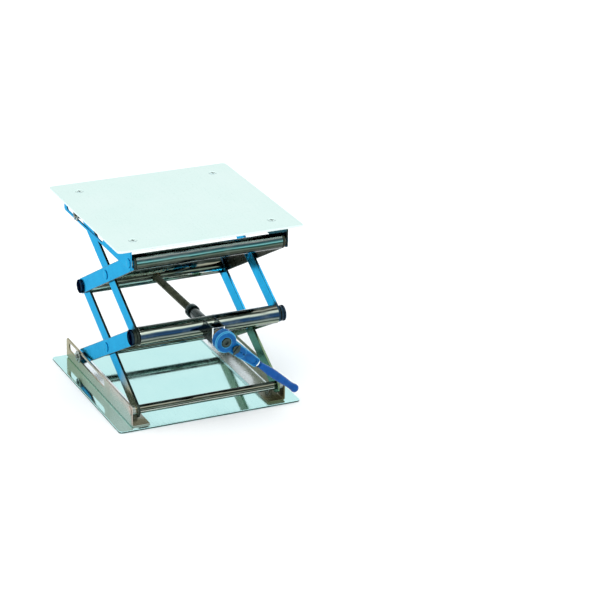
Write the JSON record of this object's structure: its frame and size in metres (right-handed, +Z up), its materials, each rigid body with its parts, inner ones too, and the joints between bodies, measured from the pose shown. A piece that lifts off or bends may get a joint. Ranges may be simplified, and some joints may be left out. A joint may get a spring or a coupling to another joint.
{
  "type": "lab jack",
  "caption": "Two-stage scissor lab jack: square steel plates joined by crossed arms, raised by a lead screw with a reversible ratchet lever.",
  "frame": {"origin": "centre of the base plate's underside", "axes": "+Z up to the platform, +X to the right seen from the lever side, -Y towards the ratchet lever"},
  "size_m": [0.2, 0.2399, 0.196],
  "materials": {
    "plate_steel": "smooth bright stainless sheet with a faint cool tint",
    "rail_steel": "rolled stainless sheet, satin",
    "arm_steel": "sky-blue tinted bright metal",
    "polished_bar": "mirror polished",
    "fastener_steel": "bright turned steel",
    "roller_plastic": "black low-friction plastic",
    "screw_steel": "oiled steel thread",
    "yoke_steel": "bent steel sheet, satin",
    "bush_brass": "turned brass",
    "wheel_steel": "hardened steel, dark",
    "ratchet_paint": "bright blue enamel",
    "grip_plastic": "glossy blue plastic"
  },
  "bodies": {
    "base": {"base_plate": "plate_steel", "base_plate_screws_and_nuts": "fastener_steel", "base_rail_left": "rail_steel", "base_rail_right": "rail_steel", "bottom_front_axle": "polished_bar", "bottom_front_spacers": "fastener_steel"},
    "lower_inner_arms": {"lower_inner_arm_left": "arm_steel", "lower_inner_arm_right": "arm_steel", "lower_crossing_rivets": "arm_steel", "lower_arm_washers": "fastener_steel"},
    "lower_outer_arms": {"lower_outer_arm_left": "arm_steel", "lower_outer_arm_right": "arm_steel", "bottom_slide_axle": "polished_bar", "bottom_slide_spacers": "fastener_steel", "bottom_slide_rollers": "roller_plastic", "bottom_slide_retaining_rings": "fastener_steel"},
    "rear_trunnion": {"rear_bar": "polished_bar", "rear_bar_plugs": "polished_bar", "rear_bar_end_caps": "polished_bar", "spindle_nut": "bush_brass"},
    "front_trunnion": {"front_bar": "polished_bar", "front_bar_plugs": "polished_bar", "front_bar_end_caps": "arm_steel", "spindle_yoke": "yoke_steel", "yoke_bush": "bush_brass", "spindle_sleeve": "yoke_steel"},
    "upper_outer_arms": {"upper_outer_arm_left": "arm_steel", "upper_outer_arm_right": "arm_steel"},
    "upper_inner_arms": {"upper_inner_arm_left": "arm_steel", "upper_inner_arm_right": "arm_steel", "upper_crossing_rivets": "arm_steel", "upper_arm_washers": "fastener_steel", "top_slide_axle": "polished_bar", "top_slide_spacers": "fastener_steel", "top_slide_rollers": "roller_plastic", "top_slide_retaining_rings": "fastener_steel"},
    "platform": {"top_plate": "plate_steel", "top_plate_screws_and_nuts": "fastener_steel", "top_rail_left": "arm_steel", "top_rail_right": "arm_steel", "top_front_axle": "polished_bar", "top_front_spacers": "fastener_steel", "top_front_bar": "polished_bar", "top_front_bar_plugs": "polished_bar"},
    "spindle": {"lead_screw": "screw_steel", "screw_end_stop": "fastener_steel", "thrust_collar": "yoke_steel", "thrust_collar_pin": "yoke_steel", "thrust_washer": "fastener_steel", "ratchet_wheel": "wheel_steel", "ratchet_wheel_screw": "wheel_steel"},
    "ratchet_handle": {"ratchet_body": "ratchet_paint", "ratchet_cover": "ratchet_paint", "ratchet_cover_screws": "ratchet_paint", "lever_ferrule": "fastener_steel", "lever_grip": "grip_plastic", "detent_ball": "fastener_steel", "detent_spring": "fastener_steel"},
    "direction_selector": {"direction_pawl": "wheel_steel", "direction_lever": "wheel_steel"}
  },
  "joints": [
    {"name": "lift", "type": "hinge", "parent": "base", "child": "lower_inner_arms", "pos_m": [0, -0.088, 0.018], "axis": [1, 0, 0], "range_deg": [-22.22, 18.49]},
    {"name": "lower_crossing", "type": "hinge", "parent": "lower_inner_arms", "child": "lower_outer_arms", "pos_m": [0, -0.01584, 0.058], "axis": [1, 0, 0], "range_deg": [-36.98, 44.44]},
    {"name": "rear_bar_pivot", "type": "hinge", "parent": "lower_inner_arms", "child": "rear_trunnion", "pos_m": [0, 0.05631, 0.09799], "axis": [1, 0, 0], "range_deg": [-18.49, 22.22]},
    {"name": "front_bar_pivot", "type": "hinge", "parent": "lower_outer_arms", "child": "front_trunnion", "pos_m": [0, -0.088, 0.09799], "axis": [1, 0, 0], "range_deg": [-22.22, 18.49]},
    {"name": "rear_middle_pivot", "type": "hinge", "parent": "lower_inner_arms", "child": "upper_outer_arms", "pos_m": [0, 0.05631, 0.09799], "axis": [1, 0, 0], "range_deg": [-36.98, 44.44]},
    {"name": "upper_crossing", "type": "hinge", "parent": "upper_outer_arms", "child": "upper_inner_arms", "pos_m": [0, -0.01584, 0.13799], "axis": [1, 0, 0], "range_deg": [-44.44, 36.98]},
    {"name": "platform_pivot", "type": "hinge", "parent": "upper_outer_arms", "child": "platform", "pos_m": [0, -0.088, 0.17799], "axis": [1, 0, 0], "range_deg": [-22.22, 18.49]},
    {"name": "spindle_turn", "type": "hinge", "parent": "front_trunnion", "child": "spindle", "pos_m": [0, -0.12, 0.09799], "axis": [0, 1, 0], "range_deg": [-5155, 4290]},
    {"name": "ratchet_swing", "type": "hinge", "parent": "spindle", "child": "ratchet_handle", "pos_m": [0, -0.131, 0.09799], "axis": [0, 1, 0], "continuous": true},
    {"name": "direction_select", "type": "hinge", "parent": "ratchet_handle", "child": "direction_selector", "pos_m": [0.00996, -0.131, 0.08964], "axis": [0, 1, 0], "range_deg": [-12, 12]}
  ],
  "couplings": [
    {"joint": "lower_crossing", "follows": "lift", "ratio": -2},
    {"joint": "rear_bar_pivot", "follows": "lift", "ratio": -1},
    {"joint": "front_bar_pivot", "follows": "lift", "ratio": 1},
    {"joint": "rear_middle_pivot", "follows": "lift", "ratio": -2},
    {"joint": "upper_crossing", "follows": "lift", "ratio": 2},
    {"joint": "platform_pivot", "follows": "lift", "ratio": 1},
    {"joint": "spindle_turn", "follows": "lift", "ratio": 232}
  ]
}
